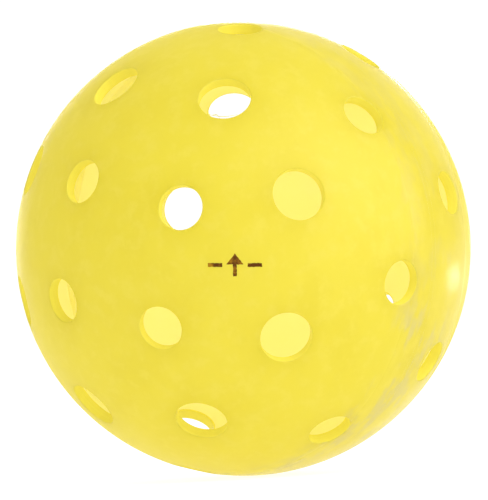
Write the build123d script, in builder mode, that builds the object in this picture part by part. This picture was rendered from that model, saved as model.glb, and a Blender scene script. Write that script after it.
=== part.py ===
from build123d import *

import os
from math import sqrt

# A two-piece, forty-hole outdoor pickleball ball, in millimetres.
# The origin is the ball's centre and +Z is up. -Y points out through the pole of the front half,
# which carries the printed mark, so the weld between the two halves lies in the XZ plane.

# Ball and wall
ball_diameter = 74.0
wall = 1.8
outer_radius = ball_diameter / 2
inner_radius = outer_radius - wall
mid_radius = (outer_radius + inner_radius) / 2

# Flight holes: each half has three rings around its pole.
# colatitude: angle from the pole; first: azimuth of the first hole, counterclockwise seen from
# outside, from the half's own x direction; both in degrees.
small_hole = 7.1
large_hole = 8.3
rings = {
    "pole": {"colatitude": 22.0, "first": 29.5, "count": 4, "diameter": small_hole},
    "middle": {"colatitude": 49.4, "first": 13.5, "count": 8, "diameter": large_hole},
    "seam": {"colatitude": 78.1, "first": 33.75, "count": 8, "diameter": small_hole},
}
rim_break = 0.15

# Holes drilled off their ring: (ring, index), with the drift in colatitude and azimuth, in degrees
front_drifts = {
    ("middle", 0): (1.2, 2.5),
}
rear_drifts = {
    ("pole", 1): (-1.5, -1.4),
    ("middle", 5): (1.2, 2.3),
    ("middle", 6): (2.5, -2.5),
    ("seam", 3): (-3.7, -0.3),
}

# Weld: the fused ring through the wall, and the double bead that it squeezes out inside
fused_width = 1.0
bead_width = 2.6
bead_height = 0.85
bead_notch = 0.35

# Printed mark: an upward arrow between two dashes
mark_colatitude = 32.6
mark_azimuth = -7.9
mark_tilt = -6.0
ink_thickness = 0.1
arrow_height = 3.6
arrow_head_width = 2.7
arrow_head_height = 1.7
stroke = 0.6
dash_length = 2.3
dash_offset = 3.15

# The front half faces -Y. The rear half is the same moulding turned over about the line in the
# seam plane that stands 22.5 degrees up from +X, so its own x direction is at twice that angle.
front_plane = Plane.XZ
rear_plane = Plane(origin=(0, 0, 0), x_dir=(1, 0, 1), z_dir=(0, 1, 0))


def on_sphere(radius, height):
    """The point at this height above the seam plane, on a sphere about the centre."""
    return (sqrt(radius**2 - height**2), height)


def pole_profile_plane(half_plane):
    """The plane through a half's pole, with its y direction along the pole."""
    return Plane(origin=(0, 0, 0), x_dir=half_plane.x_dir, z_dir=-half_plane.y_dir)


def hole_direction(colatitude, azimuth):
    """Unit vector from the centre through a hole, in the half's own frame."""
    return Vector(0, 0, 1).rotate(Axis.Y, colatitude).rotate(Axis.Z, azimuth)


def half_shell(half_plane, drifts):
    """One moulded half with its drilled holes, each with a broken outer rim."""
    edge = fused_width / 2
    mid_angle = 45.0
    outer_mid = Vector(outer_radius, 0).rotate(Axis.Z, mid_angle)
    inner_mid = Vector(inner_radius, 0).rotate(Axis.Z, mid_angle)
    with BuildPart(half_plane) as shell:
        with BuildSketch(pole_profile_plane(half_plane)):
            with BuildLine():
                Line(on_sphere(inner_radius, edge), on_sphere(outer_radius, edge))
                ThreePointArc(on_sphere(outer_radius, edge), outer_mid, (0, outer_radius))
                Line((0, outer_radius), (0, inner_radius))
                ThreePointArc((0, inner_radius), inner_mid, on_sphere(inner_radius, edge))
            make_face()
        revolve(axis=Axis((0, 0, 0), half_plane.z_dir))
        for ring_name, ring in rings.items():
            for index in range(ring["count"]):
                drift_colatitude, drift_azimuth = drifts.get((ring_name, index), (0, 0))
                colatitude = ring["colatitude"] + drift_colatitude
                azimuth = ring["first"] + index * 360 / ring["count"] + drift_azimuth
                drill_plane = Plane(origin=(0, 0, 0), z_dir=hole_direction(colatitude, azimuth))
                with Locations(drill_plane):
                    Cylinder(
                        ring["diameter"] / 2,
                        outer_radius + wall,
                        align=(Align.CENTER, Align.CENTER, Align.MIN),
                        mode=Mode.SUBTRACT,
                    )
        hole_edges = shell.edges().filter_by(GeomType.BSPLINE)
        outer_rims = hole_edges.filter_by(lambda rim: rim.position_at(0).length > mid_radius)
        fillet(outer_rims, rim_break)
    return shell


front_half_shell = half_shell(front_plane, front_drifts)
front_half_shell.part.label = "front_half_shell"

rear_half_shell = half_shell(rear_plane, rear_drifts)
rear_half_shell.part.label = "rear_half_shell"

# Fused ring: fills the wall between the halves; its outside is turned flat where the flash was
with BuildPart() as weld_ring:
    edge = fused_width / 2
    with BuildSketch(pole_profile_plane(front_plane)):
        with BuildLine():
            Line(on_sphere(inner_radius, -edge), on_sphere(outer_radius, -edge))
            Line(on_sphere(outer_radius, -edge), on_sphere(outer_radius, edge))
            Line(on_sphere(outer_radius, edge), on_sphere(inner_radius, edge))
            ThreePointArc(on_sphere(inner_radius, edge), (inner_radius, 0), on_sphere(inner_radius, -edge))
        make_face()
    revolve(axis=Axis.Y)
weld_ring.part.label = "weld_ring"

# Inner bead: two rolled lips of squeezed-out plastic, with a notch between them
with BuildPart() as inner_weld_bead:
    foot = bead_width / 2
    crown_radius = inner_radius - bead_height
    notch_radius = inner_radius - bead_notch
    with BuildSketch(pole_profile_plane(front_plane)):
        with BuildLine():
            ThreePointArc(on_sphere(inner_radius, -foot), (crown_radius, -foot / 2), (notch_radius, 0))
            ThreePointArc((notch_radius, 0), (crown_radius, foot / 2), on_sphere(inner_radius, foot))
            ThreePointArc(on_sphere(inner_radius, foot), (inner_radius, 0), on_sphere(inner_radius, -foot))
        make_face()
    revolve(axis=Axis.Y)
inner_weld_bead.part.label = "inner_weld_bead"

# Printed mark: glyphs pressed through a thin film between two spheres
mark_direction = front_plane.from_local_coords(hole_direction(mark_colatitude, mark_azimuth))
mark_plane = Plane(origin=mark_direction * inner_radius, x_dir=(1, 0, 0), z_dir=mark_direction)
with BuildPart() as orientation_mark:
    with BuildSketch(mark_plane.rotated((0, 0, mark_tilt))):
        head_base = arrow_height / 2 - arrow_head_height
        with BuildLine():
            Polyline(
                (0, arrow_height / 2),
                (-arrow_head_width / 2, head_base),
                (arrow_head_width / 2, head_base),
                close=True,
            )
        make_face()
        with Locations((0, -arrow_height / 2)):
            Rectangle(stroke, arrow_height - arrow_head_height, align=(Align.CENTER, Align.MIN))
        with Locations((-dash_offset, 0), (dash_offset, 0)):
            Rectangle(dash_length, stroke)
    extrude(amount=2 * wall)
    Sphere(outer_radius + ink_thickness, mode=Mode.INTERSECT)
    Sphere(outer_radius, mode=Mode.SUBTRACT)
orientation_mark.part.label = "orientation_mark"

os.makedirs("parts", exist_ok=True)
export_step(front_half_shell.part, "parts/front_half_shell.step")
export_step(rear_half_shell.part, "parts/rear_half_shell.step")
export_step(weld_ring.part, "parts/weld_ring.step")
export_step(inner_weld_bead.part, "parts/inner_weld_bead.step")
export_step(orientation_mark.part, "parts/orientation_mark.step")
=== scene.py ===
import math

import bpy
import numpy as np
from mathutils import Matrix, Vector, geometry, noise


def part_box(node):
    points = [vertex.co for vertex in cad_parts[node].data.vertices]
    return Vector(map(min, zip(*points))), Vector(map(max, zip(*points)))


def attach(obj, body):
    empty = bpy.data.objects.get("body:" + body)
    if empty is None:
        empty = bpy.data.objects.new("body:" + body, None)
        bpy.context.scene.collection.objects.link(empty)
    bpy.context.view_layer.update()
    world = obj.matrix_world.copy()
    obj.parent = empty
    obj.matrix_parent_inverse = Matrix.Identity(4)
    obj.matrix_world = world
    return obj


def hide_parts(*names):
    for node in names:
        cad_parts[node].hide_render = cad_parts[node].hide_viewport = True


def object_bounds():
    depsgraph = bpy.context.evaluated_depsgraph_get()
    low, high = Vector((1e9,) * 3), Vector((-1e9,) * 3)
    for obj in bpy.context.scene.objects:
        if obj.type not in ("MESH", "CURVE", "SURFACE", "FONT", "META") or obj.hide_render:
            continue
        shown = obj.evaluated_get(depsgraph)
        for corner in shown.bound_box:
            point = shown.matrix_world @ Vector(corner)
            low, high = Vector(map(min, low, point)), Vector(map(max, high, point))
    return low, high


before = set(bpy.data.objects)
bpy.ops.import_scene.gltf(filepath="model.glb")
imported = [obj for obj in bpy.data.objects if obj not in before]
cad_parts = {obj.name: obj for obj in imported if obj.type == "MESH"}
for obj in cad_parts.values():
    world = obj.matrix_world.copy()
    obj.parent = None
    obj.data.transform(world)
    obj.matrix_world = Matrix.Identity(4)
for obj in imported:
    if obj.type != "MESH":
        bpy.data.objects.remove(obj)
cad_low, cad_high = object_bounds()

# ---------------------------------------------------------------- dimensions, in metres
MM = 0.001
OUTER_RADIUS = (cad_high.y - cad_low.y) / 2
INNER_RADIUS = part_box("inner_weld_bead")[1].x
FUSED_HALF_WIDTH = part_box("weld_ring")[1].y
BEAD_HALF_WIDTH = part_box("inner_weld_bead")[1].y
FLOOR_HEIGHT = cad_low.z

# Hole pattern of one half: angle from the pole and azimuth of the first hole, in degrees
SMALL_HOLE = 7.1 * MM
LARGE_HOLE = 8.3 * MM
RINGS = {
    "pole": {"colatitude": 22.0, "first": 29.5, "count": 4, "diameter": SMALL_HOLE},
    "middle": {"colatitude": 49.4, "first": 13.5, "count": 8, "diameter": LARGE_HOLE},
    "seam": {"colatitude": 78.1, "first": 33.75, "count": 8, "diameter": SMALL_HOLE},
}
# Holes drilled off their ring: (ring, index), with the drift in colatitude and azimuth, in degrees
FRONT_DRIFTS = {("middle", 0): (1.2, 2.5)}
REAR_DRIFTS = {
    ("pole", 1): (-1.5, -1.4),
    ("middle", 5): (1.2, 2.3),
    ("middle", 6): (2.5, -2.5),
    ("seam", 3): (-3.7, -0.3),
}

# Each half's own x, y and pole directions, as rows, in the ball's frame
DIAGONAL = math.sqrt(0.5)
FRONT_AXES = np.array([(1, 0, 0), (0, 0, 1), (0, -1, 0)], float)
REAR_AXES = np.array([(DIAGONAL, 0, DIAGONAL), (DIAGONAL, 0, -DIAGONAL), (0, 1, 0)])

# Moulded skin: a slight wave, as (frequency over the unit sphere, share), below the CAD's sphere
SKIN_WAVE = 0.03 * MM
SKIN_SINK = 0.5
SKIN_WAVES = [(2.6, 0.5), (6.0, 0.2)]
MEAN_SKIN = OUTER_RADIUS - SKIN_WAVE * SKIN_SINK
# Shallow band turned beside the weld, and the seam distances between which it runs out
BAND_DEPTH = 0.003 * MM
BAND_RUN_OUT = (1.38 * MM, 2.76 * MM)

# Rim of a hole: rounding outside and inside, and the distances of the mesh rows around it
OUTER_RIM_BREAK = 0.2 * MM
INNER_RIM_BREAK = 0.12 * MM
HOLE_POINTS = 96
OUTER_APRON = [d * MM for d in (1.0, 0.68, 0.44, 0.27, 0.15, 0.07)]
INNER_APRON = [d * MM for d in (0.08, 0.25, 0.55, 0.95)]
ARC_STEPS = 4
BORE_STEPS = 5
# Ragged lip that the drill raised around the rim
LIP_HEIGHT = 0.015 * MM
LIP_DISTANCE = 0.1 * MM
LIP_WIDTH = 0.16 * MM
BURR_FREQUENCY = 9.0
BURR_SEED = Vector((5, 1, 3))
BURR_SHARE = 0.25

# Rows beside the seam, as distances from the seam plane, and spacing of the points between the holes
SEAM_POINTS = 360
OUTER_SEAM_ROWS = [d * MM for d in (0.62, 0.85, 1.2, 1.6, 1.9, 2.2, 2.5, 2.8)]
INNER_SEAM_ROWS = [d * MM for d in (0.8, 1.2, 1.7, 2.3)]
OUTER_SPACING = 1.1 * MM
INNER_SPACING = 1.6 * MM
BORDER_CLEARANCE = 0.55
HOLE_CLEARANCE = 0.6
MERGE_DISTANCE = 1e-9

# Regions of a half shell, which are its material slots, and which way a surface's normals point
SKIN, BORE, INSIDE, JOINT = range(4)
OUTWARD, INWARD = 1, -1
SHARP_ANGLE = math.radians(50.0)


# ---------------------------------------------------------------- mesh helpers
class Patchwork:
    """Points and faces of one mesh, gathered patch by patch, in the ball's frame."""

    def __init__(self):
        self.points = []
        self.faces = []
        self.regions = []
        self.radial = []

    def add_points(self, points, radial=0):
        """radial is OUTWARD on the ball's skin, INWARD on its inner wall and 0 elsewhere."""
        first = len(self.points)
        self.points.extend(tuple(p) for p in points)
        self.radial.extend([radial] * len(points))
        return list(range(first, len(self.points)))

    def add_face(self, corners, region):
        self.faces.append(tuple(corners))
        self.regions.append(region)

    def bridge(self, loop_a, loop_b, region):
        """Quads between two closed loops of as many points each."""
        count = len(loop_a)
        for i in range(count):
            j = (i + 1) % count
            self.add_face((loop_a[i], loop_a[j], loop_b[j], loop_b[i]), region)

    def corner_normals(self, mesh, flat_region):
        """Normals that follow the sphere on the skin and the inner wall, and the face on flat ends."""
        normals = []
        for face in mesh.polygons:
            for index in face.vertices:
                if face.material_index == flat_region:
                    normals.append(face.normal.copy())
                elif self.radial[index]:
                    normals.append(Vector(self.points[index]).normalized() * self.radial[index])
                else:
                    normals.append(mesh.vertices[index].normal.copy())
        return normals

    def build(self, name, materials, flat_region=None):
        """Makes the object. flat_region is the region of flat ends that meet a round surface."""
        mesh = bpy.data.meshes.new(name)
        mesh.from_pydata(self.points, [], self.faces)
        for material in materials:
            mesh.materials.append(material)
        mesh.polygons.foreach_set("material_index", self.regions)
        mesh.polygons.foreach_set("use_smooth", [True] * len(self.faces))
        mesh.set_sharp_from_angle(angle=SHARP_ANGLE)
        mesh.update()
        if any(self.radial):
            mesh.normals_split_custom_set(self.corner_normals(mesh, flat_region))
        piece = bpy.data.objects.new(name, mesh)
        bpy.context.scene.collection.objects.link(piece)
        return piece


def polar(colatitude, azimuth):
    """Unit vector in a half's own frame, from angles in degrees."""
    c, a = math.radians(colatitude), math.radians(azimuth)
    return np.array((math.sin(c) * math.cos(a), math.sin(c) * math.sin(a), math.cos(c)))


def hole_at(ring_name, index, drifts):
    """Direction and radius of one hole, in its half's own frame."""
    ring = RINGS[ring_name]
    drift_colatitude, drift_azimuth = drifts.get((ring_name, index), (0, 0))
    azimuth = ring["first"] + index * 360 / ring["count"] + drift_azimuth
    return polar(ring["colatitude"] + drift_colatitude, azimuth), ring["diameter"] / 2


def smooth_step(edge_a, edge_b, value):
    t = min(1.0, max(0.0, (value - edge_a) / (edge_b - edge_a)))
    return t * t * (3 - 2 * t)


def skin_radius(direction, seam_distance):
    """Radius of the moulded skin: its wave, which stops at the turned band, and the band itself."""
    place = Vector(direction)
    wave = sum(share * noise.noise(place * frequency) for frequency, share in SKIN_WAVES)
    band = 1 - smooth_step(*BAND_RUN_OUT, abs(seam_distance))
    return OUTER_RADIUS - SKIN_WAVE * (SKIN_SINK + wave * (1 - band)) - BAND_DEPTH * band


def inner_radius(direction, seam_distance):
    """Radius of the inner wall, which is a plain sphere."""
    return INNER_RADIUS


def circle(axis, radius, height):
    """Points of a hole's loop: a circle about an axis through the centre."""
    side = np.cross(axis, (0.0, 0.0, 1.0))
    side /= np.linalg.norm(side)
    other = np.cross(axis, side)
    angles = np.arange(HOLE_POINTS) * (2 * math.pi / HOLE_POINTS)
    spokes = np.outer(np.cos(angles), side) + np.outer(np.sin(angles), other)
    return axis * height + radius * spokes


def on_skin(points, lip=0.0):
    """Moves points in or out onto the outer skin, raised by a ragged lip."""
    moved = []
    for point in points:
        direction = point / np.linalg.norm(point)
        radius = skin_radius(direction, direction[2] * OUTER_RADIUS)
        burr = max(0.0, noise.noise(Vector(direction) * BURR_FREQUENCY + BURR_SEED) + BURR_SHARE)
        moved.append(direction * (radius + lip * burr))
    return np.array(moved)


def rounding(radius, rim_break, reach):
    """Centre of a rim's rounding, as (distance from the axis, height), and the angle up to it."""
    distance = radius + rim_break
    height = math.sqrt(reach**2 - distance**2)
    return (distance, height), math.atan2(height, distance)


def arc_rows(axis, centre, radius, start, end):
    """Loops along a rounding in a hole's own profile."""
    loops = []
    for angle in np.linspace(start, end, ARC_STEPS + 1):
        rho = centre[0] + radius * math.cos(angle)
        loops.append(circle(axis, rho, centre[1] + radius * math.sin(angle)))
    return loops


def apron_row(axis, sphere, lean, distance):
    """Loop on a sphere, at a distance outside the circle where the rounding touches it."""
    angle = math.pi / 2 - lean + distance / sphere
    return circle(axis, math.sin(angle) * sphere, math.cos(angle) * sphere)


def hole_loops(axis, radius):
    """Loops of one hole as (points, region, radial), from the skin through the bore to the inner wall."""
    loops = []
    rim_centre, lean = rounding(radius, OUTER_RIM_BREAK, MEAN_SKIN - OUTER_RIM_BREAK)
    for distance in OUTER_APRON:
        lip = LIP_HEIGHT * math.exp(-(((distance - LIP_DISTANCE) / LIP_WIDTH) ** 2))
        loops.append((on_skin(apron_row(axis, MEAN_SKIN, lean, distance), lip), SKIN, OUTWARD))
    for step, ring in enumerate(arc_rows(axis, rim_centre, OUTER_RIM_BREAK, lean, math.pi)):
        region = SKIN if step < ARC_STEPS - 1 else BORE
        loops.append((ring, region, OUTWARD if step == 0 else 0))

    edge_centre, lean = rounding(radius, INNER_RIM_BREAK, INNER_RADIUS + INNER_RIM_BREAK)
    rim_height, edge_height = rim_centre[1], edge_centre[1]
    for step in range(1, BORE_STEPS):
        height = rim_height + (edge_height - rim_height) * step / BORE_STEPS
        loops.append((circle(axis, radius, height), BORE, 0))
    for step, ring in enumerate(arc_rows(axis, edge_centre, INNER_RIM_BREAK, math.pi, math.pi + lean)):
        loops.append((ring, BORE, INWARD if step == ARC_STEPS else 0))
    for distance in INNER_APRON:
        loops.append((apron_row(axis, INNER_RADIUS, lean, distance), INSIDE, INWARD))
    return loops


def drill(work, axis, radius, axes):
    """One hole. Returns its first loop on the skin and its last on the inner wall."""
    loops = hole_loops(axis, radius)
    indices = [work.add_points(ring @ axes, radial) for ring, _, radial in loops]
    for row, (_, region, _) in enumerate(loops[:-1]):
        work.bridge(indices[row], indices[row + 1], region)
    return (loops[0][0], indices[0]), (loops[-1][0], indices[-1])


def seam_loop(radius_at, distance):
    """Points of a circle parallel to the seam plane, in the half's own frame."""
    points = []
    for i in range(SEAM_POINTS):
        angle = 2 * math.pi * i / SEAM_POINTS
        flat = np.array((math.cos(angle), math.sin(angle), 0.0))
        sphere = radius_at(flat, distance)
        points.append(flat * math.sqrt(sphere**2 - distance**2) + np.array((0, 0, distance)))
    return np.array(points)


def seam_rows(work, axes):
    """Rows beside the weld. Returns the last one on the skin and the last one on the inner wall."""
    inner = [seam_loop(inner_radius, d) for d in (*reversed(INNER_SEAM_ROWS), FUSED_HALF_WIDTH)]
    outer = [seam_loop(skin_radius, d) for d in (FUSED_HALF_WIDTH, *OUTER_SEAM_ROWS)]
    inner_indices = [work.add_points(points @ axes, INWARD) for points in inner]
    outer_indices = [work.add_points(points @ axes, OUTWARD) for points in outer]
    for row, following in zip(inner_indices, inner_indices[1:]):
        work.bridge(row, following, INSIDE)
    work.bridge(inner_indices[-1], outer_indices[0], JOINT)
    for row, following in zip(outer_indices, outer_indices[1:]):
        work.bridge(row, following, SKIN)
    return (outer[-1], outer_indices[-1]), (inner[0], inner_indices[0])


def spiral_points(spacing, radius):
    """Evenly spread directions over a sphere, about one spacing apart."""
    count = int(4 * math.pi * radius**2 / (spacing**2 * math.sqrt(3) / 2))
    index = np.arange(count) + 0.5
    z = 1 - 2 * index / count
    angle = index * math.pi * (3 - math.sqrt(5))
    flat = np.sqrt(1 - z**2)
    return np.stack((flat * np.cos(angle), flat * np.sin(angle), z), axis=1)


def free_directions(rims, border, radius, spacing):
    """Spread directions over the cap inside the border, clear of every hole."""
    border_height = border[0][:, 2].mean() / radius
    free = spiral_points(spacing, radius)
    free = free[free[:, 2] > border_height + BORDER_CLEARANCE * spacing / radius]
    for points, _ in rims:
        axis = points.mean(axis=0)
        axis /= np.linalg.norm(axis)
        reach = math.acos(min(1.0, points[0] @ axis / np.linalg.norm(points[0])))
        free = free[free @ axis < math.cos(reach + HOLE_CLEARANCE * spacing / radius)]
    return free


def flatten(points):
    """Stereographic projection from the far pole, which keeps circles as circles."""
    unit = points / np.linalg.norm(points, axis=1)[:, None]
    return unit[:, :2] / (1 + unit[:, 2:3])


def fill(work, rims, border, radius, spacing, region, axes, place):
    """Triangles over the cap between the hole loops and the border loop."""
    loops = rims + [border]
    free_points = place(free_directions(rims, border, radius, spacing))
    free_indices = work.add_points(free_points @ axes, OUTWARD if region == SKIN else INWARD)
    indices = [i for _, loop in loops for i in loop] + free_indices
    owner = []
    edges = []
    for number, (_, loop) in enumerate(loops):
        first = len(owner)
        count = len(loop)
        edges += [(first + i, first + (i + 1) % count) for i in range(count)]
        owner += [number] * count
    owner += [-1] * len(free_indices)
    flat = [flatten(points) for points, _ in loops] + [flatten(free_points)]
    plane_points = [Vector(p) for p in np.concatenate(flat)]
    result = geometry.delaunay_2d_cdt(plane_points, edges, [], 0, MERGE_DISTANCE)
    triangles, originals = result[2], result[3]
    for triangle in triangles:
        corners = [originals[i][0] for i in triangle]
        owners = {owner[i] for i in corners}
        inside_hole = len(owners) == 1 and -1 not in owners and len(rims) not in owners
        if inside_hole:
            continue
        a, b, c = (plane_points[i] for i in corners)
        faces_out = (b - a).cross(c - a) > 0
        if faces_out != (region == SKIN):
            corners.reverse()
        work.add_face([indices[i] for i in corners], region)


def half_shell(name, axes, drifts, materials, threads=False):
    """One moulded half: skin, drilled holes, inner wall and the face at the weld."""
    work = Patchwork()
    outer_rims, inner_rims = [], []
    for ring_name, ring in RINGS.items():
        for index in range(ring["count"]):
            axis, radius = hole_at(ring_name, index, drifts)
            outer, inner = drill(work, axis, radius, axes)
            outer_rims.append(outer)
            inner_rims.append(inner)
    outer_border, inner_border = seam_rows(work, axes)
    fill(work, outer_rims, outer_border, OUTER_RADIUS, OUTER_SPACING, SKIN, axes, on_skin)
    fill(
        work, inner_rims, inner_border, INNER_RADIUS, INNER_SPACING, INSIDE, axes,
        lambda directions: directions * INNER_RADIUS,
    )
    if threads:
        drill_threads(work)
    return work.build(name, materials, flat_region=JOINT)


# ---------------------------------------------------------------- weld
# Gap that keeps neighbouring pieces from sharing a face, where light would be lost
CONTACT_GAP = 0.01 * MM

# Fused ring: steps across its turned outside, regions of the sides of its section (which are its
# material slots), and which way the normals at the section's points lean
WELD_STEPS = 8
WELD_SKIN, WELD_INSIDE, WELD_JOINT = range(3)
WELD_REGIONS = [WELD_SKIN] * WELD_STEPS + [WELD_JOINT] + [WELD_INSIDE] * (WELD_STEPS // 2) + [WELD_JOINT]
WELD_RADIALS = [OUTWARD] * (WELD_STEPS + 1) + [INWARD] * (WELD_STEPS // 2 + 1)

# Inner bead: its two lips, the notch between them, and how unevenly they swell around the ball
LIP_STEPS = 8
BEAD_HEIGHT = 0.85 * MM
BEAD_NOTCH = 0.3 * MM
BEAD_FULLNESS = 0.6
MEAN_SWELL = 0.9
SWELL_SHARE = 0.35
SWELL_FREQUENCY = 7.0
SWELL_SEED_STEP = 4.0
BEAD_BASE_POINTS = 5


def ring_mesh(name, profile_at, materials, regions=None, radials=None, flat_region=None):
    """A closed ring about the Y axis. profile_at(angle) gives its (radius, y) points in order."""
    work = Patchwork()
    loops = []
    for i in range(SEAM_POINTS):
        angle = 2 * math.pi * i / SEAM_POINTS
        profile = profile_at(angle)
        points = [(r * math.cos(angle), y, r * math.sin(angle)) for r, y in profile]
        loops.append(work.add_points(points))
    if radials:
        work.radial = list(radials) * SEAM_POINTS
    sides = len(loops[0])
    for i in range(SEAM_POINTS):
        loop, following = loops[i], loops[(i + 1) % SEAM_POINTS]
        for side in range(sides):
            after = (side + 1) % sides
            region = regions[side] if regions else 0
            work.add_face((loop[side], loop[after], following[after], following[side]), region)
    return work.build(name, materials, flat_region)


def weld_ring_profile(angle):
    """Section of the fused ring: its turned outside, its sides and its inner wall."""
    direction = (math.cos(angle), 0.0, math.sin(angle))
    half_width = FUSED_HALF_WIDTH - CONTACT_GAP
    across = np.linspace(-half_width, half_width, WELD_STEPS + 1)
    outer = [(math.sqrt(skin_radius(direction, y) ** 2 - y**2), y) for y in across]
    inner = [(math.sqrt(INNER_RADIUS**2 - y**2), y) for y in across[::-2]]
    return outer + inner


def bead_lip(angle, side):
    """One rolled lip of the bead, from the lower y to the higher; side is -1 or 1."""
    direction = Vector((math.cos(angle), math.sin(angle), 0.0))
    seed = Vector((0, 0, side * SWELL_SEED_STEP))
    swell = MEAN_SWELL + SWELL_SHARE * noise.noise(direction * SWELL_FREQUENCY + seed)
    lip = []
    for t in np.linspace(0, 1, LIP_STEPS + 1):
        outward = 1 - t if side < 0 else t
        y = side * BEAD_HALF_WIDTH * outward
        roll = BEAD_HEIGHT * swell * math.sin(math.pi * t) ** BEAD_FULLNESS
        notch = BEAD_NOTCH * (1 - outward)
        lip.append((math.sqrt(INNER_RADIUS**2 - y**2) - max(roll, notch), y))
    return lip


def bead_profile(angle):
    """Section of the inner bead: two lips that share a notch and stand on the inner wall."""
    across = np.linspace(BEAD_HALF_WIDTH, -BEAD_HALF_WIDTH, BEAD_BASE_POINTS)[1:-1]
    base = [(math.sqrt(INNER_RADIUS**2 - y**2) - CONTACT_GAP, y) for y in across]
    return (bead_lip(angle, -1) + bead_lip(angle, 1)[1:] + base)[::-1]


# ---------------------------------------------------------------- drill threads
# Threads of plastic that the drill left on the front half: (ring, index) of the hole, where along the
# rim it starts and ends in degrees from straight down, distance in from the bore, height over the rim
BARBED_HOLE = ("middle", 1)
RIM_THREADS = [
    (BARBED_HOLE, (-42, 30), 0.26 * MM, 0.05 * MM),
    (BARBED_HOLE, (-30, -12), 0.42 * MM, 0.15 * MM),
    (("middle", 0), (150, 200), 0.05 * MM, 0.03 * MM),
    (("middle", 6), (-120, -60), 0.06 * MM, 0.04 * MM),
]
THREAD_RADIUS = 0.05 * MM
THREAD_SIDES = 6
THREAD_STEPS = 24
THREAD_TIP = 0.35
CURL = 0.12 * MM
CURL_FREQUENCY = 0.35

# Short barb that runs from the thread down into the rim: its start, in from the bore and beside
# straight down, then its length, how far it leans into the ball, its bend, its points and its radius
BARB_INSET = 0.2 * MM
BARB_SIDEWAYS = 0.9 * MM
BARB_LENGTH = 0.75 * MM
BARB_LEAN = 0.3
BARB_BEND = 0.1 * MM
BARB_POINTS = 8
BARB_RADIUS = 0.8 * THREAD_RADIUS


def strand(work, path, radius, region):
    """A closed thin tube along a path, tapered at both ends."""
    path = [Vector(p) for p in path]
    last = len(path) - 1
    loops = []
    for i, point in enumerate(path):
        along = (path[min(i + 1, last)] - path[max(i - 1, 0)]).normalized()
        side = along.orthogonal().normalized()
        other = along.cross(side)
        thick = radius * (THREAD_TIP + (1 - THREAD_TIP) * math.sin(math.pi * i / last))
        ring = []
        for k in range(THREAD_SIDES):
            angle = 2 * math.pi * k / THREAD_SIDES
            ring.append(point + (side * math.cos(angle) + other * math.sin(angle)) * thick)
        loops.append(work.add_points(ring))
    for loop, following in zip(loops, loops[1:]):
        work.bridge(loop, following, region)
    work.add_face(loops[0][::-1], region)
    work.add_face(loops[-1], region)


def front_hole_frame(hole):
    """Axis, downward and sideways directions of a front hole, its radius and its rim's height."""
    axis, radius = hole_at(*hole, FRONT_DRIFTS)
    axis = axis @ FRONT_AXES
    down = np.array((0.0, 0.0, -1.0))
    down -= (down @ axis) * axis
    down /= np.linalg.norm(down)
    return axis, down, np.cross(axis, down), radius, math.sqrt(OUTER_RADIUS**2 - radius**2)


def thread_path(hole, start, end, inset, lift):
    """Path of one curled thread along a rim."""
    axis, down, side, radius, rim = front_hole_frame(hole)
    path = []
    for i in range(THREAD_STEPS + 1):
        t = i / THREAD_STEPS
        angle = math.radians(start + (end - start) * t)
        curl = noise.noise(Vector((i * CURL_FREQUENCY, start, 0.0))) * CURL
        spoke = math.cos(angle) * down + math.sin(angle) * side
        path.append(axis * (rim + lift + curl) + spoke * (radius - inset * math.sin(math.pi * t) + curl))
    return path


def barb_path():
    """Path of the barb that runs from the thread down into the rim."""
    axis, down, side, radius, rim = front_hole_frame(BARBED_HOLE)
    start = axis * rim + down * (radius - BARB_INSET) - side * BARB_SIDEWAYS
    drop = (down - axis * BARB_LEAN) * BARB_LENGTH
    return [start + drop * t + side * BARB_BEND * math.sin(3 * t) for t in np.linspace(0, 1, BARB_POINTS)]


def drill_threads(work):
    """Curled threads along the rims, one with a short barb."""
    for hole, (start, end), inset, lift in RIM_THREADS:
        strand(work, thread_path(hole, start, end, inset, lift), THREAD_RADIUS, BORE)
    strand(work, barb_path(), BARB_RADIUS, BORE)


# ---------------------------------------------------------------- material helpers
def add_node(tree, kind, inputs=None, **attributes):
    node = tree.nodes.new(kind)
    for key, value in attributes.items():
        setattr(node, key, value)
    for key, value in (inputs or {}).items():
        if isinstance(value, bpy.types.NodeSocket):
            tree.links.new(value, node.inputs[key])
        else:
            node.inputs[key].default_value = value
    return node


def new_material(name, roughness, specular=0.5):
    material = bpy.data.materials.new(name)
    material.use_nodes = True
    tree = material.node_tree
    shader = tree.nodes["Principled BSDF"]
    shader.inputs["Roughness"].default_value = roughness
    shader.inputs["Specular IOR Level"].default_value = specular
    return material, tree, shader


def math_node(tree, operation, first, second=0.0):
    return add_node(tree, "ShaderNodeMath", {0: first, 1: second}, operation=operation).outputs[0]


def multiply(tree, first, second):
    return math_node(tree, "MULTIPLY", first, second)


def object_place(tree):
    return add_node(tree, "ShaderNodeTexCoord").outputs["Object"]


def stretched(tree, place, scale):
    return add_node(tree, "ShaderNodeMapping", {"Vector": place, "Scale": scale}).outputs[0]


def map_range(tree, value, low, high, out_low=0.0, out_high=1.0):
    inputs = {"Value": value, "From Min": low, "From Max": high, "To Min": out_low, "To Max": out_high}
    return add_node(tree, "ShaderNodeMapRange", inputs, interpolation_type="SMOOTHSTEP").outputs[0]


def noise_at(tree, scale, detail=2.0, roughness=0.5, vector=None):
    """Noise over the object, or over another vector."""
    if vector is None:
        vector = object_place(tree)
    inputs = {"Vector": vector, "Scale": scale, "Detail": detail, "Roughness": roughness}
    return add_node(tree, "ShaderNodeTexNoise", inputs).outputs["Fac"]


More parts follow.
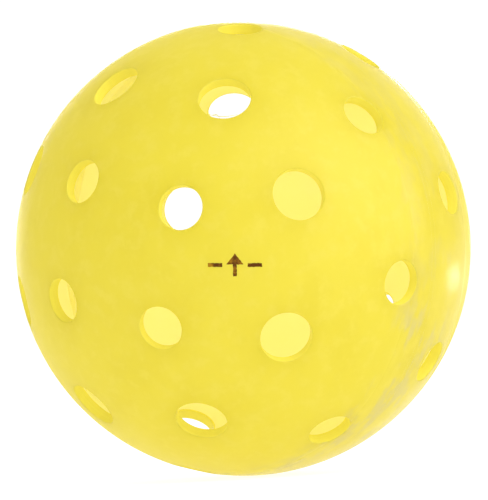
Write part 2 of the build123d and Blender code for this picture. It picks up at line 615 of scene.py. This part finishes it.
def mix_colour(tree, factor, first, second):
    node = add_node(tree, "ShaderNodeMix", data_type="RGBA")
    for name, value in (("Factor", factor), ("A", first), ("B", second)):
        socket = next(s for s in node.inputs if s.name == name and s.enabled)
        if isinstance(value, bpy.types.NodeSocket):
            tree.links.new(value, socket)
        else:
            socket.default_value = value
    return next(s for s in node.outputs if s.enabled)


def add_relief(tree, shader, height):
    """Bumps a surface by a height in metres."""
    inputs = {"Strength": 1.0, "Distance": 1.0, "Height": height}
    bump = add_node(tree, "ShaderNodeBump", inputs)
    tree.links.new(bump.outputs[0], shader.inputs["Normal"])


def let_light_through(tree, shader, colour, share):
    """Mixes light that comes through the wall into a plastic."""
    through = add_node(tree, "ShaderNodeBsdfTranslucent", {"Color": colour})
    mix = add_node(tree, "ShaderNodeMixShader", {0: share})
    tree.links.new(shader.outputs[0], mix.inputs[1])
    tree.links.new(through.outputs[0], mix.inputs[2])
    tree.links.new(mix.outputs[0], tree.nodes["Material Output"].inputs["Surface"])


# ---------------------------------------------------------------- materials
YELLOW = (0.64, 0.560, 0.024, 1)
YELLOW_DEEP = (0.61, 0.525, 0.014, 1)
YELLOW_PALE = (0.68, 0.600, 0.070, 1)
SCUFFED = (0.48, 0.44, 0.24, 1)
# Bore wall painted lighter than the skin: painted light that stands in for the light reaching into the holes
DRILLED_PAINTED_LIGHT = (0.85, 0.765, 0.11, 1)
DRILLED_PAINTED_LIGHT_DEEP = (0.82, 0.735, 0.09, 1)
# Inner wall painted much paler than the skin: a painted glow that stands in for light coming through the
# wall into the ball
INNER_WALL_PAINTED_GLOW = (1.0, 0.97, 0.62, 1)
INNER_WALL_PAINTED_GLOW_DEEP = (0.99, 0.95, 0.52, 1)
# Deeper yellow spots scattered over the inner wall
DEEPER_SPOT_YELLOW = (0.86, 0.78, 0.08, 1)
CLEAR_BEAD = (0.99, 0.98, 0.85, 1)
CLEAR_BEAD_DEEP = (0.98, 0.96, 0.75, 1)
FUSED = (1, 1, 0.95, 1)
FUSED_DEEP = (1, 0.98, 0.9, 1)
INK_DARK = (0.10, 0.030, 0.001, 1)
INK_THIN = (0.36, 0.17, 0.006, 1)

# Colour that the wall gives to light on its way through, and how much of a surface's light that is
LIGHT_THROUGH = (0.98, 0.93, 0.36, 1)
THROUGH_WALL = 0.5
THROUGH_BORE = 0.1
THROUGH_BEAD = 0.92
THROUGH_JOINT = 0.98

# Polished band beside the weld: its middle, on the rear half, and where it fades from that middle
BAND_MIDDLE = 3.5 * MM
BAND_FADE = (7.0 * MM, 11.0 * MM)
BAND_POLISH = 0.37
BAND_GROOVE = 0.022 * MM
TURNED_STRETCH = (30.0, 4200.0, 30.0)
# Scuffs beside the weld: strongest below the first height, faint above the second
SCUFF_STRETCH = (130.0, 300.0, 130.0)
SCUFF_HEIGHTS = (-14.0 * MM, -7.0 * MM)
SCUFF_FADE = (4.5 * MM, 10.0 * MM)
SCUFF_ABOVE = 0.3


def mottled_yellow(tree):
    """Colour of the moulded skin: deeper clouds and paler grains."""
    clouds = noise_at(tree, 110.0, 4.0, 0.6)
    colour = mix_colour(tree, map_range(tree, clouds, 0.45, 0.68), YELLOW, YELLOW_DEEP)
    grains = noise_at(tree, 420.0, 4.0, 0.6)
    return mix_colour(tree, map_range(tree, grains, 0.45, 0.7, 0.0, 0.8), colour, YELLOW_PALE)


def scuff_mask(tree, place, axes):
    """Where the ball is scuffed: patches beside the weld, most of them low down."""
    smear = stretched(tree, place, SCUFF_STRETCH)
    patches = map_range(tree, noise_at(tree, 1.0, 5.0, 0.6, smear), 0.47, 0.62)
    low_side = map_range(tree, axes.outputs["Z"], *SCUFF_HEIGHTS, 1.0, SCUFF_ABOVE)
    seam_distance = math_node(tree, "ABSOLUTE", axes.outputs["Y"])
    near_seam = map_range(tree, seam_distance, *SCUFF_FADE, 1.0, 0.0)
    return multiply(tree, multiply(tree, patches, low_side), near_seam)


def skin_material():
    """Moulded yellow polyethylene: faint mottling, and a turned band and scuffs beside the weld."""
    material, tree, shader = new_material("yellow_skin", 0.36)
    place = object_place(tree)
    axes = add_node(tree, "ShaderNodeSeparateXYZ", {0: place})
    from_middle = math_node(tree, "SUBTRACT", axes.outputs["Y"], BAND_MIDDLE)
    band = map_range(tree, math_node(tree, "ABSOLUTE", from_middle), *BAND_FADE, 1.0, 0.0)
    lines = noise_at(tree, 1.0, 4.0, 0.7, stretched(tree, place, TURNED_STRETCH))
    scuffs = scuff_mask(tree, place, axes)

    line_mask = multiply(tree, map_range(tree, lines, 0.5, 0.7), band)
    colour = mix_colour(tree, multiply(tree, line_mask, 0.6), mottled_yellow(tree), YELLOW_PALE)
    colour = mix_colour(tree, multiply(tree, scuffs, 0.9), colour, SCUFFED)
    tree.links.new(colour, shader.inputs["Base Color"])

    rough = math_node(tree, "MULTIPLY_ADD", noise_at(tree, 160.0), 0.1)
    rough.node.inputs[2].default_value = 0.4
    rough = math_node(tree, "ADD", rough, multiply(tree, scuffs, 0.15))
    rough = math_node(tree, "SUBTRACT", rough, multiply(tree, band, BAND_POLISH))
    tree.links.new(rough, shader.inputs["Roughness"])

    peel = multiply(tree, noise_at(tree, 900.0), 0.010 * MM)
    groove = multiply(tree, multiply(tree, lines, band), BAND_GROOVE)
    add_relief(tree, shader, math_node(tree, "ADD", peel, groove))
    let_light_through(tree, shader, LIGHT_THROUGH, THROUGH_WALL)
    return material


def bore_material():
    """Drilled wall of a hole: yellow painted lighter than the skin as painted light in the bore, with faint
    rings left by the drill.
    """
    material, tree, shader = new_material("drilled_wall", 0.5, 0.2)
    place = object_place(tree)
    depth = add_node(tree, "ShaderNodeVectorMath", {0: place}, operation="LENGTH").outputs["Value"]
    shift = add_node(tree, "ShaderNodeCombineXYZ", {0: multiply(tree, depth, 9000.0)}).outputs[0]
    along = stretched(tree, place, (60.0, 60.0, 60.0))
    vector = add_node(tree, "ShaderNodeVectorMath", {0: along, 1: shift}, operation="ADD").outputs[0]
    rings = noise_at(tree, 1.0, 3.0, 0.6, vector)
    colour = mix_colour(tree, map_range(tree, rings, 0.4, 0.7), DRILLED_PAINTED_LIGHT, DRILLED_PAINTED_LIGHT_DEEP)
    tree.links.new(colour, shader.inputs["Base Color"])
    add_relief(tree, shader, multiply(tree, rings, 0.02 * MM))
    let_light_through(tree, shader, LIGHT_THROUGH, THROUGH_BORE)
    return material


def inside_material():
    """Inner wall: smooth from the mould, painted pale as a painted glow of the light that comes through the
    wall, with a few deeper spots.
    """
    material, tree, shader = new_material("inner_wall", 0.45)
    clouds = noise_at(tree, 90.0, 3.0)
    colour = mix_colour(tree, map_range(tree, clouds, 0.35, 0.7), INNER_WALL_PAINTED_GLOW, INNER_WALL_PAINTED_GLOW_DEEP)
    cell_inputs = {"Vector": object_place(tree), "Scale": 190.0, "Randomness": 1.0}
    cells = add_node(tree, "ShaderNodeTexVoronoi", cell_inputs)
    spots = map_range(tree, cells.outputs["Distance"], 0.06, 0.16, 1.0, 0.0)
    chosen = map_range(tree, noise_at(tree, 60.0, 0.0), 0.44, 0.52)
    spots = multiply(tree, multiply(tree, spots, chosen), 0.9)
    colour = mix_colour(tree, spots, colour, DEEPER_SPOT_YELLOW)
    tree.links.new(colour, shader.inputs["Base Color"])
    add_relief(tree, shader, multiply(tree, noise_at(tree, 500.0), 0.02 * MM))
    let_light_through(tree, shader, INNER_WALL_PAINTED_GLOW, THROUGH_WALL)
    return material


def bead_material():
    """Squeezed-out bead: clearer than the moulded wall, with a rolled, rippled surface."""
    material, tree, shader = new_material("bead_plastic", 0.35)
    clouds = noise_at(tree, 240.0, 3.0)
    colour = mix_colour(tree, map_range(tree, clouds, 0.35, 0.7), CLEAR_BEAD, CLEAR_BEAD_DEEP)
    tree.links.new(colour, shader.inputs["Base Color"])
    add_relief(tree, shader, multiply(tree, noise_at(tree, 700.0, 3.0), 0.05 * MM))
    let_light_through(tree, shader, colour, THROUGH_BEAD)
    return material


def joint_material():
    """Fused face inside the wall, where the plastic runs on and light passes freely."""
    material, tree, shader = new_material("fused_joint", 0.6)
    colour = mix_colour(tree, noise_at(tree, 300.0), FUSED, FUSED_DEEP)
    tree.links.new(colour, shader.inputs["Base Color"])
    let_light_through(tree, shader, colour, THROUGH_JOINT)
    return material


def ink_material():
    """Dark brown printed ink, thinner and browner in patches."""
    material, tree, shader = new_material("brown_ink", 0.55, 0.12)
    patches = noise_at(tree, 900.0, 4.0, 0.65)
    colour = mix_colour(tree, map_range(tree, patches, 0.42, 0.68), INK_DARK, INK_THIN)
    tree.links.new(colour, shader.inputs["Base Color"])
    add_relief(tree, shader, multiply(tree, patches, 0.02 * MM))
    return material


def floor_material():
    """White acrylic of a light table."""
    material, tree, shader = new_material("studio_floor", 0.7, 0.2)
    shader.inputs["Base Color"].default_value = (0.4, 0.4, 0.4, 1)
    shader.inputs["Emission Color"].default_value = (1, 1, 1, 1)
    shader.inputs["Emission Strength"].default_value = 0.8
    return material


# ---------------------------------------------------------------- printed mark
# Its middle in the front half's frame, in degrees, and its tilt
MARK_COLATITUDE = 32.6
MARK_AZIMUTH = -7.9
MARK_TILT = -6.0
ARROW_HEIGHT = 3.6 * MM
ARROW_HEAD_WIDTH = 2.7 * MM
ARROW_HEAD_HEIGHT = 1.7 * MM
STROKE = 0.6 * MM
DASH_LENGTH = 2.3 * MM
DASH_OFFSET = 3.15 * MM
INK_LIFT = 0.03 * MM
INK_DEPTH = 0.06 * MM
INK_STEP = 0.08 * MM
INK_SPREAD = 0.07 * MM
SPREAD_FREQUENCY = 2600.0


def ragged_outline(corners):
    """An outline walked in short steps, each pushed a little off line, as ink spreads."""
    points = []
    for a, b in zip(corners, corners[1:] + corners[:1]):
        a, b = Vector(a), Vector(b)
        steps = max(2, round((b - a).length / INK_STEP))
        across = Vector((b - a).yx).normalized()
        across.x = -across.x
        for i in range(steps):
            point = a.lerp(b, i / steps)
            wobble = noise.noise(Vector((point.x, point.y, 0)) * SPREAD_FREQUENCY) * INK_SPREAD
            points.append(point + across * wobble)
    return points


def mark_glyphs():
    """Corners of the arrow and of the dashes beside it, about the middle of the mark."""
    tip, foot = ARROW_HEIGHT / 2, -ARROW_HEIGHT / 2
    head = tip - ARROW_HEAD_HEIGHT
    barb, edge, half = ARROW_HEAD_WIDTH / 2, STROKE / 2, DASH_LENGTH / 2
    arrow = [(0, tip), (-barb, head), (-edge, head), (-edge, foot), (edge, foot), (edge, head), (barb, head)]
    dashes = []
    for x in (-DASH_OFFSET, DASH_OFFSET):
        dashes.append([(x - half, edge), (x - half, -edge), (x + half, -edge), (x + half, edge)])
    return [arrow] + dashes


def mark_frame():
    """Middle, right and up directions of the mark, in the front half's frame."""
    centre = polar(MARK_COLATITUDE, MARK_AZIMUTH)
    right = np.array((1.0, 0.0, 0.0))
    right -= (right @ centre) * centre
    right /= np.linalg.norm(right)
    up = np.cross(centre, right)
    turn_cos, turn_sin = math.cos(math.radians(MARK_TILT)), math.sin(math.radians(MARK_TILT))
    return centre, right * turn_cos + up * turn_sin, up * turn_cos - right * turn_sin


def print_mark(material):
    """The printed arrow between two dashes, as thin films that follow the skin."""
    centre, right, up = mark_frame()
    work = Patchwork()
    for glyph in mark_glyphs():
        outline = ragged_outline(glyph)
        count = len(outline)
        edges = [(i, (i + 1) % count) for i in range(count)]
        result = geometry.delaunay_2d_cdt(outline, edges, [list(range(count))], 1, MERGE_DISTANCE)
        flat, triangles = result[0], result[2]
        top, bottom = [], []
        for point in flat:
            direction = centre + (right * point.x + up * point.y) / OUTER_RADIUS
            direction /= np.linalg.norm(direction)
            surface = skin_radius(direction, direction[2] * OUTER_RADIUS) + INK_LIFT
            top.append(direction * surface)
            bottom.append(direction * (surface - INK_DEPTH))
        top = work.add_points(np.array(top) @ FRONT_AXES)
        bottom = work.add_points(np.array(bottom) @ FRONT_AXES)
        for triangle in triangles:
            work.add_face([top[i] for i in triangle], 0)
            work.add_face([bottom[i] for i in reversed(triangle)], 0)
        work.bridge(bottom[:count], top[:count], 0)
    return work.build("orientation_mark_print", [material])


# ---------------------------------------------------------------- build the ball
skin, bore, inside, joint = skin_material(), bore_material(), inside_material(), joint_material()
shell_materials = [skin, bore, inside, joint]
weld_materials = [skin, inside, joint]

front = half_shell("front_half_shell_visual", FRONT_AXES, FRONT_DRIFTS, shell_materials, threads=True)
rear = half_shell("rear_half_shell_visual", REAR_AXES, REAR_DRIFTS, shell_materials)
weld = ring_mesh(
    "weld_ring_visual", weld_ring_profile, weld_materials, WELD_REGIONS, WELD_RADIALS, WELD_JOINT
)
bead = ring_mesh("inner_weld_bead_visual", bead_profile, [bead_material()])
mark = print_mark(ink_material())

pieces = (front, rear, weld, bead, mark)
for piece, node, slot in (
    (front, "front_half_shell", "yellow_polyethylene"),
    (rear, "rear_half_shell", "yellow_polyethylene"),
    (weld, "weld_ring", "turned_weld"),
    (bead, "inner_weld_bead", "weld_bead"),
    (mark, "orientation_mark", "brown_ink"),
):
    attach(piece, "root")
    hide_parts(node)

# ---------------------------------------------------------------- floor
FLOOR_SIZE = 6.0
FLOOR_GAP = 0.05 * MM
bpy.ops.mesh.primitive_plane_add(size=FLOOR_SIZE, location=(0, 0, FLOOR_HEIGHT - FLOOR_GAP))
floor = bpy.context.object
floor.name = "studio_floor"
floor.data.materials.append(floor_material())

# ---------------------------------------------------------------- camera
# Angles in degrees; distance in ball radii; BALL_SHARE is the ball's share of the picture's width
CAMERA_AZIMUTH = 34.65
CAMERA_ELEVATION = -0.34
CAMERA_ROLL = -3.28
CAMERA_RADII = 30.0
BALL_SHARE = 0.91
SENSOR = 36.0
SHIFT_X = 0.0013
SHIFT_Y = -0.0030
CLIP_START = 0.01


def camera_turn():
    """Rotation from the camera's own axes (right, up, back) to the ball's frame."""
    azimuth, elevation = math.radians(CAMERA_AZIMUTH), math.radians(CAMERA_ELEVATION)
    level = math.cos(elevation)
    back = Vector((math.sin(azimuth) * level, -math.cos(azimuth) * level, math.sin(elevation)))
    right = Vector((0, 0, 1)).cross(back).normalized()
    axes = Matrix((right, back.cross(right), back)).transposed()
    return axes @ Matrix.Rotation(math.radians(CAMERA_ROLL), 3, "Z")


def place_camera():
    data = bpy.data.cameras.new("photo_camera")
    data.sensor_width = SENSOR
    data.lens = BALL_SHARE * SENSOR / 2 / math.tan(math.asin(1 / CAMERA_RADII))
    data.shift_x = SHIFT_X
    data.shift_y = SHIFT_Y
    data.clip_start = CLIP_START
    camera = bpy.data.objects.new("photo_camera", data)
    turn = camera_turn()
    camera.location = turn @ Vector((0, 0, CAMERA_RADII * OUTER_RADIUS))
    camera.rotation_euler = turn.to_euler()
    bpy.context.scene.collection.objects.link(camera)
    bpy.context.scene.camera = camera


# ---------------------------------------------------------------- light
# World: strength around and behind the ball, and the cosines from straight behind between which it changes
AROUND_BALL = 0.82
BEHIND_BALL = 1.08
BEHIND_COSINES = (0.75, 0.95)

# Softboxes by name: direction as the camera's right, up and back, then metres and radiance. The ones
# behind the ball light only the ball, because they reach below the floor.
SOFTBOXES = {
    # lights the rear half, and fills the ball through its wall
    "back_panel": {"toward": (0.0, 0.15, -1.0), "distance": 0.6, "size": 0.7, "radiance": 1.8},
    # what the skin mirrors of a panel behind the ball, near the outline
    "back_gloss": {"toward": (-0.1, -0.15, -1.0), "distance": 0.6, "size": 0.6, "radiance": 4.0},
    # broad soft key from above
    "key_light": {"toward": (0.55, 0.8, 0.6), "distance": 1.2, "size": 1.3, "radiance": 2.0},
    # pale card at the right, seen as a sheen on the skin
    "side_card": {"toward": (0.88, 0.25, 0.35), "distance": 0.8, "size": 1.1, "radiance": 1.9},
    # small light at the right behind the ball, mirrored beside the weld
    "side_light": {"toward": (0.70, -0.10, -0.71), "distance": 0.9, "size": 0.07, "radiance": 110.0},
}
NOT_MIRRORED = ("back_panel",)
ONLY_MIRRORED = ("back_gloss", "side_card", "side_light")
ONLY_ON_BALL = ("back_panel", "back_gloss", "side_light")

# Lamp at the ball's centre, for the light that the whole wall scatters into the ball
GLOW_WATTS = 0.007
GLOW_RADIUS = 15 * MM


def add_softbox(name, toward, distance, size, radiance):
    """A round softbox that faces the ball."""
    data = bpy.data.lights.new(name, "AREA")
    data.shape = "DISK"
    data.size = size
    data.energy = radiance * math.pi * math.pi * size**2 / 4
    lamp = bpy.data.objects.new(name, data)
    direction = (camera_turn() @ Vector(toward)).normalized()
    lamp.location = direction * distance
    lamp.rotation_euler = direction.to_track_quat("Z", "Y").to_euler()
    lamp.visible_diffuse = name not in ONLY_MIRRORED
    lamp.visible_glossy = name not in NOT_MIRRORED
    bpy.context.scene.collection.objects.link(lamp)
    if name in ONLY_ON_BALL:
        lit = bpy.data.collections.new(name + "_lights_only")
        for piece in pieces:
            lit.objects.link(piece)
        lamp.light_linking.receiver_collection = lit
        lamp.light_linking.blocker_collection = lit


def add_inner_glow():
    """The lamp at the ball's centre, which no surface mirrors."""
    data = bpy.data.lights.new("inner_glow", "POINT")
    data.energy = GLOW_WATTS
    data.shadow_soft_size = GLOW_RADIUS
    lamp = bpy.data.objects.new("inner_glow", data)
    lamp.visible_glossy = False
    bpy.context.scene.collection.objects.link(lamp)


def light_world():
    """White surroundings, brighter behind the ball than on the camera's side."""
    world = bpy.data.worlds.new("white_studio")
    world.use_nodes = True
    tree = world.node_tree
    background = tree.nodes["Background"]
    background.inputs["Color"].default_value = (1, 1, 1, 1)
    direction = add_node(tree, "ShaderNodeTexCoord").outputs["Generated"]
    rear = tuple(camera_turn() @ Vector((0, 0, -1)))
    facing = add_node(tree, "ShaderNodeVectorMath", {0: direction, 1: rear}, operation="DOT_PRODUCT")
    strength = map_range(tree, facing.outputs["Value"], *BEHIND_COSINES, AROUND_BALL, BEHIND_BALL)
    tree.links.new(strength, background.inputs["Strength"])
    bpy.context.scene.world = world


place_camera()
light_world()
for softbox_name, settings in SOFTBOXES.items():
    add_softbox(softbox_name, **settings)
add_inner_glow()

scene = bpy.context.scene
scene.view_settings.view_transform = "Standard"
# light crosses the wall many times before it leaves the ball
scene.cycles.max_bounces = 24
scene.cycles.diffuse_bounces = 12
scene.cycles.transmission_bounces = 16
